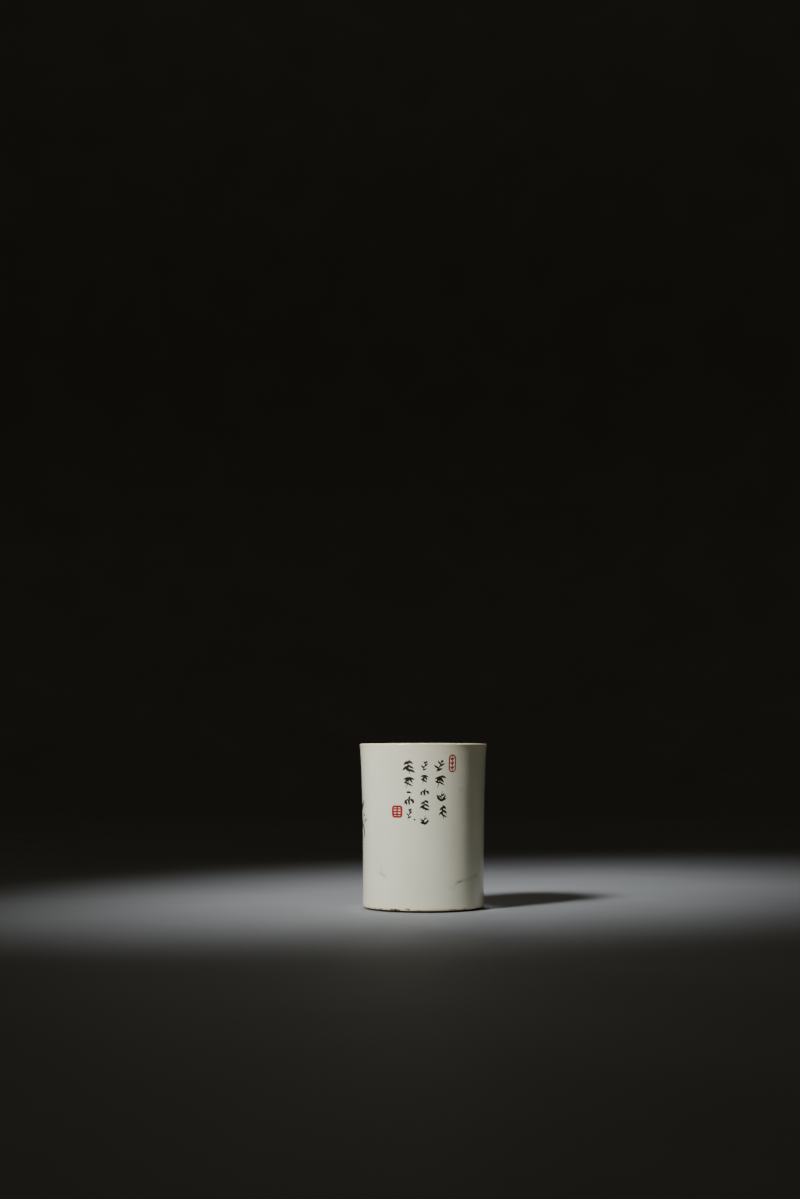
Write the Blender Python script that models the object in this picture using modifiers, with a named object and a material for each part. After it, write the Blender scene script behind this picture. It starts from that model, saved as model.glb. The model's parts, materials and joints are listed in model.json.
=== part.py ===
"""A porcelain brush pot: a thrown cylinder with a flared mouth, glazed, with painted enamel on its wall.

Metres, +Z up. The origin is on the pot's axis, in the plane that the foot stands on, and the
inscribed front faces -Y. An angle on the wall is counted from the front towards +X.

The clay is two solids, a wall and a floor, with a fillet of clay worked into the corner between
them. Three coats of glaze cover the clay except for the foot, and each mark of the painting is a
raised deposit of enamel on the outer glaze.
"""

import math

import bmesh
import bpy
from mathutils import Vector
from mathutils.geometry import delaunay_2d_cdt

MM = 0.001
ORIGIN = Vector((0, 0))

# Driving dimensions
HEIGHT = 130 * MM
WAIST_RADIUS = 48.25 * MM
MOUTH_FLARE = 3 * MM
FLARE_POWER = 3
LIP_BEAD = 0.25 * MM
FOOT_SPREAD = 0.25 * MM
EDGE_SPREAD_HEIGHT = 3 * MM
LIP_THICKNESS = 4.4 * MM
HEEL_THICKNESS = 6.6 * MM
LIP_OUTER_ROUND = 1.5 * MM
LIP_INNER_ROUND = 1.9 * MM

FLOOR_LEVEL = 10.4 * MM
CORNER_RADIUS = 6.5 * MM
RECESS_HEIGHT = 2.8 * MM
GLAZE_LINE = 2.7 * MM
FOOT_BEVEL = 1.4 * MM
FOOT_ROUNDING = 0.42 * MM
FOOT_INNER_BEVEL = 0.5 * MM

COAT = 0.4 * MM
GAP = 0.3 * MM
CLAY_DEPTH = COAT + GAP
REBATE_DEPTH = CLAY_DEPTH + 2 * GAP
BISCUIT_DEPTH = 0.35 * MM
COAT_MEETING = 3.6 * MM
ENAMEL = 0.2 * MM

# Each kind of sprig, in a box one unit wide and high about its middle: the points that its stem
# passes, and for each leaf the share of the stem below it, its heading in degrees and its length
SPRIGS = {
    "bamboo": {
        "stem": [(-0.2, -0.5), (-0.02, 0), (0.04, 0.46)],
        "leaves": [
            (0.97, -24, 0.46),
            (0.95, -158, 0.44),
            (0.86, -58, 0.5),
            (0.84, -124, 0.46),
            (0.46, -36, 0.44),
            (0.4, 152, 0.34),
        ],
    },
    "twig": {
        "stem": [(-0.28, -0.48), (-0.04, -0.04), (0.12, 0.34)],
        "leaves": [(0.14, 22, 0.44), (0.36, 138, 0.42), (0.56, 34, 0.44), (0.8, 126, 0.36), (0.96, 66, 0.24)],
    },
    "grass": {
        "stem": [(0.04, -0.5), (0, -0.02), (0.12, 0.5)],
        "leaves": [
            (0.04, 126, 0.8),
            (0.04, 58, 0.72),
            (0.12, 152, 0.52),
            (0.12, 26, 0.56),
            (0.42, 148, 0.34),
            (0.56, 34, 0.36),
        ],
    },
    "reed": {
        "stem": [(0.08, -0.5), (-0.06, 0), (0.02, 0.5)],
        "leaves": [
            (0.92, -40, 0.34),
            (0.84, -146, 0.38),
            (0.62, -34, 0.46),
            (0.54, -138, 0.44),
            (0.3, -28, 0.42),
            (0.22, 140, 0.36),
        ],
    },
    "spray": {
        "stem": [(-0.42, 0.06), (0, 0.26), (0.44, 0.18)],
        "leaves": [
            (0.1, -66, 0.42),
            (0.32, -122, 0.46),
            (0.4, -74, 0.56),
            (0.62, -112, 0.5),
            (0.7, -48, 0.44),
            (0.9, -96, 0.36),
            (0.5, 64, 0.28),
        ],
    },
    "dab": {"stem": [], "leaves": [(0, -12, 1)]},
}
SPRIG_STEM_WIDTHS = (0.05, 0.09, 0.05)
LEAF_WIDTH = 0.19
DAB_WIDTH = 0.4

# Each column of sprigs: the angle of its first sprig and how far each next one drifts, in degrees;
# its top edge and the space between sprigs, in millimetres; and each sprig's kind, width and height
COLUMNS = {
    "right": {
        "angle": 14.6,
        "drift": 1.15,
        "top": 117,
        "space": 2.3,
        "marks": [("twig", 9, 9.5), ("bamboo", 9.5, 9.5), ("grass", 8.5, 8.5), ("reed", 7, 11)],
    },
    "middle": {
        "angle": 1.2,
        "drift": 0,
        "top": 116.3,
        "space": 2.8,
        "marks": [
            ("twig", 5.5, 8),
            ("bamboo", 6.5, 7.5),
            ("spray", 7.5, 6),
            ("reed", 8, 9),
            ("grass", 7.5, 7.5),
        ],
    },
    "left": {
        "angle": -13,
        "drift": 0.05,
        "top": 117.4,
        "space": 1.9,
        "marks": [
            ("reed", 10, 11.5),
            ("bamboo", 9.5, 9),
            ("dab", 4, 1.9),
            ("spray", 8.5, 7.5),
            ("twig", 5, 8.5),
        ],
    },
}
DOT_ANGLE = -8
DOT_HEIGHT = 71
DOT_SIZE = 1.7
DOT_HEADING = -0.9
DAB_SHAPE = (2, 1.5)
JOIN_DISTANCE = 0.01

# Each seal: its middle's angle in degrees and height, its size, corner radius and line width, and
# the leaf spray or the lattice inside it, in millimetres
UPPER_SEAL = {"angle": 26.9, "middle": 114.3, "width": 6.6, "height": 13.9, "corner": 3.2, "line": 1}
SPRAY_ROWS = (-3.8, -0.4, 3)
SPRAY_HEADINGS = (35, 145)
SPRAY_LEAF = (2.2, 1.3)
STEM_WIDTH = 0.9
LOWER_SEAL = {"angle": -24.5, "middle": 77.2, "width": 9.2, "height": 9.8, "corner": 2.2, "line": 1.7}
BAR_WIDTH = 1.35
BAR_HEIGHTS = (-2.1, 0, 2.1)

# The painting: its middle's angle in degrees and height in millimetres, the brush's route and width
# along the bough and each limb, and the flowers and buds beside them, in millimetres from the middle.
# A flower has one size, and a bud a width and a height
PAINTING_ANGLE = -140
PAINTING_HEIGHT = 65
LIMBS = [
    [(-42, -40, 7), (-33, -24, 6), (-20, -8, 5.4), (-12, 8, 4.4), (2, 20, 3.4), (6, 36, 2), (3, 46, 0.7)],
    [(-20, -8, 3.6), (-2, -1, 3.2), (16, 4, 2.6), (34, 9, 2), (44, 12.5, 1.8), (52, 16, 3.4), (57, 20, 1.4)],
    [(16, 4, 2), (30, 3, 1.7), (42, 4, 1.5), (50, 2, 2), (55.5, -3, 3), (56.8, -9, 1.6)],
    [(-33, -24, 3), (-46, -12, 2.4), (-52, 4, 1.6), (-60, 16, 0.6)],
    [(-12, 8, 2.4), (-24, 20, 1.8), (-30, 34, 1.2), (-40, 42, 0.5)],
    [(2, 20, 2), (16, 28, 1.5), (30, 30, 1), (40, 38, 0.5)],
    [(-46, -12, 1.6), (-56, -18, 1.2), (-62, -16, 0.5)],
    [(-2, -1, 1.8), (6, -12, 1.4), (18, -18, 1), (28, -28, 0.5)],
]
BLOSSOMS = [
    (-22, 30, 9),
    (-2, 31, 8),
    (12, 38, 8.5),
    (26, 24, 8),
    (42, 21, 7.5),
    (33, -3.5, 8),
    (-21, 8, 7.5),
    (-8, -13, 8.5),
    (19, -10, 7.5),
    (-47, 16, 8),
    (-60, -8, 7),
]
BUDS = [
    (55.7, 8.4, 3.4, 2.6),
    (60, 5, 3.6, 2.4),
    (56.4, 3.4, 2.8, 1.8),
    (32, 34, 2, 2),
    (-36, 45, 2, 2),
    (12, -23, 2, 2),
    (-61, 21, 2, 2),
]
PETALS = 5
PETAL_POINTS = 30
PETAL_NOTCH = 0.24
PETAL_ROUNDNESS = 0.7

SEGMENTS = 48
ARC_STEPS = 3
CORNER_STEPS = 5
OUTSIDE_STEPS = 5
INSIDE_STEPS = 3

collection = bpy.data.collections.new("brush_holder_pot")


def outer_radius(z):
    """Radius of the glazed outside at a height: straight low down, flared to the mouth."""
    flare = MOUTH_FLARE * (z / HEIGHT) ** FLARE_POWER
    lip = LIP_BEAD * math.exp((z - HEIGHT) / EDGE_SPREAD_HEIGHT)
    foot = FOOT_SPREAD * math.exp(-z / EDGE_SPREAD_HEIGHT)
    return WAIST_RADIUS + flare + lip + foot


def well_radius(z):
    """Radius of the glazed inside at a height. The wall thins from its heel to the lip."""
    share = z / HEIGHT
    return outer_radius(z) - HEEL_THICKNESS * (1 - share) - LIP_THICKNESS * share


def spaced(start, end, steps):
    return [start + (end - start) * i / steps for i in range(steps + 1)]


def arc(centre, radius, start, end, steps):
    """Points of an arc in the profile plane, from one angle in degrees to another."""
    angles = [math.radians(a) for a in spaced(start, end, steps)]
    return [(centre[0] + radius * math.cos(a), centre[1] + radius * math.sin(a)) for a in angles]


def lip(depth):
    """The rounded lip, from the inside over the top to the outside, at a depth under the glaze."""
    top = HEIGHT - LIP_INNER_ROUND
    inner_centre = (well_radius(HEIGHT) + LIP_INNER_ROUND, top)
    outer_centre = (outer_radius(HEIGHT) - LIP_OUTER_ROUND, HEIGHT - LIP_OUTER_ROUND)
    inner = arc(inner_centre, LIP_INNER_ROUND - depth, 180, 90, ARC_STEPS)
    outer = arc(outer_centre, LIP_OUTER_ROUND - depth, 90, 0, ARC_STEPS)
    return inner + outer


def outside(depth, bottom):
    """The outer side under the lip, from the top down."""
    heights = spaced(HEIGHT - 2 * LIP_OUTER_ROUND, bottom, OUTSIDE_STEPS)
    return [(outer_radius(z) - depth, z) for z in heights]


def inside(depth, bottom, top):
    """The inner side of the wall, from the bottom up."""
    return [(well_radius(z) + depth, z) for z in spaced(bottom, top, INSIDE_STEPS)]


def corner(depth):
    """The rounded corner between floor and wall, from the floor up."""
    centre_z = FLOOR_LEVEL + CORNER_RADIUS
    centre = (well_radius(centre_z) - CORNER_RADIUS, centre_z)
    return arc(centre, CORNER_RADIUS + depth, -90, 0, CORNER_STEPS)


def new_material(name, colour, roughness):
    material = bpy.data.materials.new(name)
    material.use_nodes = True
    shader = material.node_tree.nodes["Principled BSDF"]
    shader.inputs["Base Color"].default_value = (*colour, 1)
    shader.inputs["Roughness"].default_value = roughness
    shader.inputs["Metallic"].default_value = 0
    return material


def new_object(name, mesh, material):
    mesh.materials.append(material)
    item = bpy.data.objects.new(name, mesh)
    item.parent = axis
    collection.objects.link(item)
    return item


def turned(name, profile, material, closed=True, coat=0):
    """A profile turned about the axis. An open profile is the face of a coat of a given thickness."""
    mesh = bpy.data.meshes.new(name)
    edges = [(i, i + 1) for i in range(len(profile) - 1)]
    if closed:
        edges.append((len(profile) - 1, 0))
    mesh.from_pydata([(r, 0, z) for r, z in profile], edges, [])
    item = new_object(name, mesh, material)
    screw = item.modifiers.new("Turn", "SCREW")
    screw.axis = "Z"
    screw.steps = SEGMENTS
    screw.render_steps = SEGMENTS
    screw.use_merge_vertices = True
    screw.merge_threshold = 0.00001
    if coat:
        shell = item.modifiers.new("Coat", "SOLIDIFY")
        shell.thickness = coat
        shell.offset = -1
    return item


def make_clay():
    clay = new_material("fired_clay", (0.52, 0.45, 0.34), 0.8)

    foot_top = GLAZE_LINE - GAP
    foot_radius = outer_radius(foot_top) - BISCUIT_DEPTH
    foot = [
        (foot_radius, foot_top),
        (foot_radius - FOOT_ROUNDING, foot_top / 2),
        (foot_radius - FOOT_BEVEL, 0),
    ]
    rebate_top = FLOOR_LEVEL + CORNER_RADIUS + GAP
    inner_foot = well_radius(0) + REBATE_DEPTH
    heel = [
        (inner_foot + FOOT_INNER_BEVEL, 0),
        (inner_foot, FOOT_INNER_BEVEL),
        (well_radius(rebate_top) + REBATE_DEPTH, rebate_top),
    ]
    wall = lip(CLAY_DEPTH) + outside(CLAY_DEPTH, foot_top) + foot + heel
    wall += inside(CLAY_DEPTH, rebate_top, HEIGHT - 2 * LIP_INNER_ROUND)
    turned("porcelain_wall", wall, clay)

    slab_radius = inner_foot - GAP
    raised_radius = well_radius(FLOOR_LEVEL) - CORNER_RADIUS - GAP
    raised_top = FLOOR_LEVEL - CLAY_DEPTH
    slab = [
        (0, raised_top),
        (raised_radius, raised_top),
        (raised_radius + GAP, FLOOR_LEVEL - REBATE_DEPTH),
        (slab_radius, FLOOR_LEVEL - REBATE_DEPTH),
        (slab_radius, RECESS_HEIGHT),
        (0, RECESS_HEIGHT),
    ]
    turned("floor_slab", slab, clay, closed=False)

    fillet = corner(CLAY_DEPTH)
    coil_radius = fillet[-1][0] + GAP
    coil_base = fillet[0][1] - GAP
    coil = [(coil_radius, fillet[-1][1]), (coil_radius, coil_base), (fillet[0][0], coil_base)]
    turned("luting_coil", coil + fillet, clay)


def make_glazes():
    glaze = new_material("clear_glaze", (0.61, 0.61, 0.55), 0.15)

    meeting = HEIGHT - COAT_MEETING
    rim = [(well_radius(meeting), meeting)]
    turned("outer_glaze", rim + lip(0) + outside(0, GLAZE_LINE), glaze, closed=False, coat=COAT)

    cup = [(0, FLOOR_LEVEL)] + corner(0)
    cup += inside(0, FLOOR_LEVEL + 2 * CORNER_RADIUS, meeting - GAP)
    turned("inner_glaze", cup, glaze, closed=False, coat=COAT)

    base_radius = well_radius(0) + CLAY_DEPTH
    base_face = RECESS_HEIGHT - CLAY_DEPTH
    base = [(base_radius, base_face), (0, base_face)]
    turned("base_glaze", base, glaze, closed=False, coat=COAT)


def leaf(base, heading, length, width):
    """The outline of one dab of a loaded brush: pointed at both ends, fullest before the middle."""
    along = Vector((math.cos(heading), math.sin(heading)))
    across = Vector((-along.y, along.x))
    half = width / 2
    stations = [(0.1, 0.7), (0.35, 1), (0.8, 0.7)]
    right = [base + along * length * t - across * half * w for t, w in stations]
    left = [base + along * length * t + across * half * w for t, w in reversed(stations)]
    return [base] + right + [base + along * length] + left


def smooth_route(points, steps):
    """A Catmull-Rom curve through points that each hold x, y and a width."""
    guide = [points[0]] + points + [points[-1]]
    route = []
    for i in range(len(points) - 1):
        a, b, c, d = guide[i : i + 4]
        for k in range(steps):
            t = k / steps
            bend = (2 * a - 5 * b + 4 * c - d) * t**2 + (3 * b - a - 3 * c + d) * t**3
            route.append((2 * b + (c - a) * t + bend) / 2)
    return route + [points[-1]]


def stroke(points, steps=3):
    """The outline of a brush stroke through points that each hold x, y and a width."""
    route = smooth_route([Vector(p) for p in points], steps)
    left = []
    right = []
    for i, here in enumerate(route):
        ahead = route[min(i + 1, len(route) - 1)] - route[max(i - 1, 0)]
        across = Vector((-ahead.y, ahead.x)).normalized() * here.z / 2
        left.append(here.xy + across)
        right.append(here.xy - across)
    return right + left[::-1]


def fitted(outlines, width, height):
    """Outlines stretched to a width and a height, about their middle."""
    points = [p for outline in outlines for p in outline]
    low = Vector((min(p.x for p in points), min(p.y for p in points)))
    high = Vector((max(p.x for p in points), max(p.y for p in points)))
    middle = (low + high) / 2
    scale = Vector((width / (high.x - low.x), height / (high.y - low.y)))
    return [[(p - middle) * scale for p in outline] for outline in outlines]


def wrapped_mesh(name, outlines, height, windows=()):
    """Outlines in millimetres, joined into one sheet and laid on the wall about a height.

    A window is cut out of the first outline only, so that later outlines can cross it.
    """
    shapes = list(outlines) + list(windows)
    coords = []
    faces = []
    for shape in shapes:
        faces.append(list(range(len(coords), len(coords) + len(shape))))
        coords += [Vector(p) for p in shape]
    points, _, triangles, _, _, sources = delaunay_2d_cdt(coords, [], faces, 1, JOIN_DISTANCE)

    sheet = bmesh.new()
    verts = []
    for point in points:
        z = point.y * MM
        radius = outer_radius(height + z) + GAP
        angle = point.x * MM / radius
        verts.append(sheet.verts.new((radius * math.sin(angle), -radius * math.cos(angle), z)))
    for triangle, source in zip(triangles, sources):
        in_window = any(s >= len(outlines) for s in source)
        in_stroke = any(0 < s < len(outlines) for s in source)
        if source and (in_stroke or not in_window):
            sheet.faces.new([verts[i] for i in triangle])
    loose = [v for v in sheet.verts if not v.link_faces]
    bmesh.ops.delete(sheet, geom=loose, context="VERTS")

    mesh = bpy.data.meshes.new(name)
    sheet.to_mesh(mesh)
    sheet.free()
    return mesh


def enamel(name, outlines, angle, height, material, windows=()):
    """A raised deposit of enamel on the outer glaze, at an angle in degrees and a height."""
    item = new_object(name, wrapped_mesh(name, outlines, height, windows), material)
    item.location.z = height
    item.rotation_euler.z = math.radians(angle)
    shell = item.modifiers.new("Enamel", "SOLIDIFY")
    shell.thickness = ENAMEL
    shell.offset = 1


def sprig(kind):
    """The outlines of one kind of sprig: its stem, then its leaves. Each leaf grows from the stem."""
    plan = SPRIGS[kind]
    stem = [Vector((*point, width)) for point, width in zip(plan["stem"], SPRIG_STEM_WIDTHS)]
    outlines = [stroke(stem)] if stem else []
    for share, heading, length in plan["leaves"]:
        base = along_stem(stem, share) if stem else ORIGIN
        width = LEAF_WIDTH if stem else DAB_WIDTH
        outlines.append(leaf(base, math.radians(heading), length, width))
    return outlines


def along_stem(stem, share):
    """The place on a stem of three points, at a share of the way up it."""
    foot, middle, tip = [point.xy for point in stem]
    if share < 0.5:
        return foot.lerp(middle, 2 * share)
    return middle.lerp(tip, 2 * share - 1)


def make_inscription():
    """Three columns of leaf sprigs in dark ink, under one another from the top, and a last dot."""
    ink = new_material("ink_enamel", (0.035, 0.025, 0.018), 0.4)
    for side, column in COLUMNS.items():
        top = column["top"]
        for i, (kind, width, height) in enumerate(column["marks"]):
            angle = column["angle"] + column["drift"] * i
            middle = (top - height / 2) * MM
            enamel(f"ink_sprig_{side}_{i + 1}", fitted(sprig(kind), width, height), angle, middle, ink)
            top -= height + column["space"]
    dot = [leaf(ORIGIN, DOT_HEADING, *DAB_SHAPE)]
    enamel("ink_dot", fitted(dot, DOT_SIZE, DOT_SIZE), DOT_ANGLE, DOT_HEIGHT * MM, ink)


def rounded_box(width, height, radius, steps=4):
    """The outline of a box with round corners, about its middle."""
    outline = []
    for quarter, (x, y) in enumerate([(1, 1), (-1, 1), (-1, -1), (1, -1)]):
        centre = (x * (width / 2 - radius), y * (height / 2 - radius))
        outline += arc(centre, radius, 90 * quarter, 90 * quarter + 90, steps)
    return [Vector(p) for p in outline]


def seal_frame(seal):
    """The outside of a seal's frame and the window inside it."""
    width, height, corner_radius = seal["width"], seal["height"], seal["corner"]
    line = seal["line"]
    window = rounded_box(width - 2 * line, height - 2 * line, corner_radius - line)
    return rounded_box(width, height, corner_radius), window


def make_seals():
    """Two cartouches in iron red: a tall one with a leaf spray in it, a square one with a lattice."""
    red = new_material("iron_red_enamel", (0.35, 0.035, 0.025), 0.35)

    frame, window = seal_frame(UPPER_SEAL)
    reach = (UPPER_SEAL["height"] - UPPER_SEAL["line"]) / 2
    stem = stroke([(0, -reach, STEM_WIDTH), (0, 0, STEM_WIDTH), (0, reach, STEM_WIDTH)], 2)
    leaves = []
    for y in SPRAY_ROWS:
        for heading in SPRAY_HEADINGS:
            leaves.append(leaf(Vector((0, y)), math.radians(heading), *SPRAY_LEAF))
    middle = UPPER_SEAL["middle"] * MM
    enamel("upper_seal", [frame, stem] + leaves, UPPER_SEAL["angle"], middle, red, [window])

    frame, window = seal_frame(LOWER_SEAL)
    across = LOWER_SEAL["width"] - LOWER_SEAL["line"]
    upright = LOWER_SEAL["height"] - LOWER_SEAL["line"]
    round_end = BAR_WIDTH / 3
    bars = [rounded_box(BAR_WIDTH, upright, round_end, 1)]
    for y in BAR_HEIGHTS:
        bar = rounded_box(across, BAR_WIDTH, round_end, 1)
        bars.append([p + Vector((0, y)) for p in bar])
    middle = LOWER_SEAL["middle"] * MM
    enamel("lower_seal", [frame] + bars, LOWER_SEAL["angle"], middle, red, [window])


def blossom(size, turn):
    """The outline of a flower with five round petals."""
    outline = []
    for k in range(PETAL_POINTS):
        heading = 2 * math.pi * k / PETAL_POINTS
        swell = abs(math.cos(PETALS / 2 * heading)) ** PETAL_ROUNDNESS
        reach = size / 2 * (1 - PETAL_NOTCH + PETAL_NOTCH * swell)
        outline.append(Vector((math.cos(heading + turn), math.sin(heading + turn))) * reach)
    return outline


def make_painting():
    """A flowering plum branch round the back of the wall, which reaches the front's left edge."""
    wash = new_material("branch_enamel", (0.06, 0.045, 0.035), 0.4)
    rose = new_material("blossom_enamel", (0.5, 0.16, 0.14), 0.35)
    height = PAINTING_HEIGHT * MM
    outlines = [stroke(limb) for limb in LIMBS]
    enamel("plum_branch", outlines, PAINTING_ANGLE, height, wash)
    for i, (x, y, size) in enumerate(BLOSSOMS):
        angle = PAINTING_ANGLE + math.degrees(x * MM / WAIST_RADIUS)
        enamel(f"plum_blossom_{i + 1}", [blossom(size, i)], angle, height + y * MM, rose)
    for i, (x, y, width, tall) in enumerate(BUDS):
        angle = PAINTING_ANGLE + math.degrees(x * MM / WAIST_RADIUS)
        dab = fitted([leaf(ORIGIN, 1 + i, *DAB_SHAPE)], width, tall)
        enamel(f"plum_bud_{i + 1}", dab, angle, height + y * MM, wash)


for item in list(bpy.data.objects):
    bpy.data.objects.remove(item)
bpy.context.scene.collection.children.link(collection)
axis = bpy.data.objects.new("pot_axis", None)
collection.objects.link(axis)

make_clay()
make_glazes()
make_inscription()
make_seals()
make_painting()
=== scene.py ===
import json
import math
import random

import bmesh
import bpy
import numpy as np
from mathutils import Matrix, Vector, noise

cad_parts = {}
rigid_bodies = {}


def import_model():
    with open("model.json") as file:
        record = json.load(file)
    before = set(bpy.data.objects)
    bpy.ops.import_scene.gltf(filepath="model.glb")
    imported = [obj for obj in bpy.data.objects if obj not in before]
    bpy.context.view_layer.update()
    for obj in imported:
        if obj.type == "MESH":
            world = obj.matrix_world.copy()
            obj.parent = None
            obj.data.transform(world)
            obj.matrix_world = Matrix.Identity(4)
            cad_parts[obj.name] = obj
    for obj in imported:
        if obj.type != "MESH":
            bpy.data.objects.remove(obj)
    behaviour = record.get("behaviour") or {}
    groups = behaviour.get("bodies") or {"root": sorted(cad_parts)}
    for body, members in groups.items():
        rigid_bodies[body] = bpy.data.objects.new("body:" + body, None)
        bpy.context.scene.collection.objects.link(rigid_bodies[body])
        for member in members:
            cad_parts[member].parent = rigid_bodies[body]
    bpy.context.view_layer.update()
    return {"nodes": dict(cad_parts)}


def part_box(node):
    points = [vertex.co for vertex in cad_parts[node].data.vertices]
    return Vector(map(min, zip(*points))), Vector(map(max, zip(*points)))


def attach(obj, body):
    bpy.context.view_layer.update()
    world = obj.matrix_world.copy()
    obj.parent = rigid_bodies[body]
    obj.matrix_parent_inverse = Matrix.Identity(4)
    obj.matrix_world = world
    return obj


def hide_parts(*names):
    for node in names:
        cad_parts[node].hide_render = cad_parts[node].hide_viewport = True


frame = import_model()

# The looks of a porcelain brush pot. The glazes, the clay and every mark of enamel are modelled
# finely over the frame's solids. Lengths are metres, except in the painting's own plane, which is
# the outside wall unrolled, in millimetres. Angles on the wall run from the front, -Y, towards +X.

MM = 0.001

# ---------------------------------------------------------------- measures taken from the frame

nodes = frame["nodes"]


def node_points(name):
    """The corners of a node, one per row."""
    return np.array([v.co for v in nodes[name].data.vertices])


def rings(name, outermost):
    """A turned node's heights and its largest or smallest radius at each."""
    points = node_points(name)
    radii = np.hypot(points[:, 0], points[:, 1])
    levels = np.round(points[:, 2], 5)
    heights = np.unique(levels)
    pick = max if outermost else min
    return heights, np.array([pick(radii[levels == h]) for h in heights])


def wall_law(name, low, high, outermost, powers):
    """A node's radius between two heights, as a factor for each power of the height."""
    heights, radii = rings(name, outermost)
    inside = (heights > low) & (heights < high)
    shares = heights[inside, None] / HEIGHT
    factors = np.linalg.lstsq(shares ** np.array(powers), radii[inside], rcond=None)[0]
    return list(zip(factors, powers))


def by_law(law, z):
    return sum(factor * (z / HEIGHT) ** power for factor, power in law)


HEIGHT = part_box("outer_glaze")[1].z
GLAZE_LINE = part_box("outer_glaze")[0].z
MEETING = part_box("inner_glaze")[1].z
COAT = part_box("base_glaze")[1].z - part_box("base_glaze")[0].z
BASE_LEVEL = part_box("base_glaze")[0].z
FLOOR_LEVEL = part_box("inner_glaze")[0].z + COAT
CORNER_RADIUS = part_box("luting_coil")[1].z - FLOOR_LEVEL
RING_INNER = rings("porcelain_wall", False)[1][1]
MOUTH_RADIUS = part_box("outer_glaze")[1].x
OUTER_LAW = wall_law("outer_glaze", GLAZE_LINE + 15 * MM, MEETING - 5 * MM, True, [0, 3])
WELL_LAW = wall_law("inner_glaze", FLOOR_LEVEL + CORNER_RADIUS, HEIGHT, False, [0, 1, 3])
LIP_BEAD = MOUTH_RADIUS - by_law(OUTER_LAW, HEIGHT)

# Sizes of the finer shape, which the frame's plainer solids don't have
LIP_OUTER_ROUND = 1.15 * MM
LIP_INNER_ROUND = 1.9 * MM
LIP_NICK_ANGLE = 31
EDGE_SPREAD_HEIGHT = 3 * MM
FOOT_SPREAD = 0.22 * MM
GLAZE_DEPTH = 0.32 * MM
SEAM = 0.02 * MM
CHAMFER_HEIGHT = 1.7 * MM
CHAMFER_WIDTH = 2.3 * MM
NOISE_RADIUS = 50 * MM
MM_PER_RADIAN = 48
MM_PER_DEGREE = 0.85


def ripple(x, y, z, size, seed):
    """Smooth noise from -1 to 1 at a place in metres, with features of a given size."""
    return noise.noise(Vector((x / size + seed, y / size, z / size)))


def bell(value, middle, width):
    return math.exp(-(((value - middle) / width) ** 2))


def noise_place(angle):
    """Where on a circle the noise is read for an angle on the wall, so that it joins up."""
    return NOISE_RADIUS * math.sin(angle), -NOISE_RADIUS * math.cos(angle)


def wobble(angle, z):
    """How far the thrown wall strays from a true circle, in metres."""
    x, y = noise_place(angle)
    slow = 0.11 * math.cos(2 * angle + 0.8) + 0.1 * ripple(x, y, z, 0.045, 3)
    fast = 0.02 * ripple(x, y, z * 2.4, 0.014, 11)
    return (slow + fast) * MM


def glaze_radius(angle, z):
    """Radius of the outer glaze's face at an angle in radians and a height."""
    radius = by_law(OUTER_LAW, z) + FOOT_SPREAD * math.exp(-z / EDGE_SPREAD_HEIGHT)
    radius += 0.7 * LIP_BEAD * math.exp((z - HEIGHT) / EDGE_SPREAD_HEIGHT)
    return radius + wobble(angle, z)


def well_radius(angle, z):
    """Radius of the inner glaze's face, with the shallow rings that throwing leaves."""
    throwing = 0.07 * math.sin(z / (1.1 * MM) + angle) * bell(z, 0.06, 0.05)
    return by_law(WELL_LAW, z) + throwing * MM + 0.5 * wobble(angle, z)


def on_wall(radius, angle, z):
    return (radius * math.sin(angle), -radius * math.cos(angle), z)


# ---------------------------------------------------------------- meshes


def add_values(mesh, name, kind, field, values):
    layer = mesh.attributes.new(name, kind, "POINT")
    layer.data.foreach_set(field, np.asarray(values, float).ravel())


def add_piece(name, mesh, material, replaced):
    piece = bpy.data.objects.new(name, mesh)
    bpy.context.scene.collection.objects.link(piece)
    mesh.materials.append(material)
    mesh.shade_smooth()
    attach(piece, "root")
    if replaced:
        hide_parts(*replaced)
    return piece


class Column:
    """The points of a turned skin at one angle, in order, each with what its material reads there."""

    def __init__(self, angle):
        self.angle = angle
        self.points = []

    def put(self, radius, z, warmth=0.0, soil_and_painted_shade=0.0, smudged=0.0):
        self.points.append((*on_wall(radius, self.angle, z), warmth, soil_and_painted_shade, smudged))


def turned_mesh(name, columns, closed):
    """A skin through columns, one for each step of a full turn.

    A closed column is a loop; an open one has both of its ends on the axis.
    """
    cloud = np.array([column.points for column in columns], float)
    turns, count = cloud.shape[:2]
    steps = count if closed else count - 1
    faces = []
    for i in range(turns):
        here = i * count
        there = (i + 1) % turns * count
        for j in range(steps):
            k = (j + 1) % count
            faces.append((here + j, here + k, there + k, there + j))
    mesh = bpy.data.meshes.new(name)
    mesh.from_pydata(cloud[:, :, :3].reshape(-1, 3), [], faces)
    for channel, name in enumerate(("warmth", "soil_and_painted_shade", "smudge"), 3):
        add_values(mesh, name, "FLOAT", "value", cloud[:, :, channel])
    if not closed:
        shape = bmesh.new()
        shape.from_mesh(mesh)
        bmesh.ops.remove_doubles(shape, verts=shape.verts, dist=1e-7)
        shape.to_mesh(mesh)
        shape.free()
    return mesh


def spaced(start, end, steps):
    return [start + (end - start) * i / steps for i in range(steps + 1)]


# ---------------------------------------------------------------- materials


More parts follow.
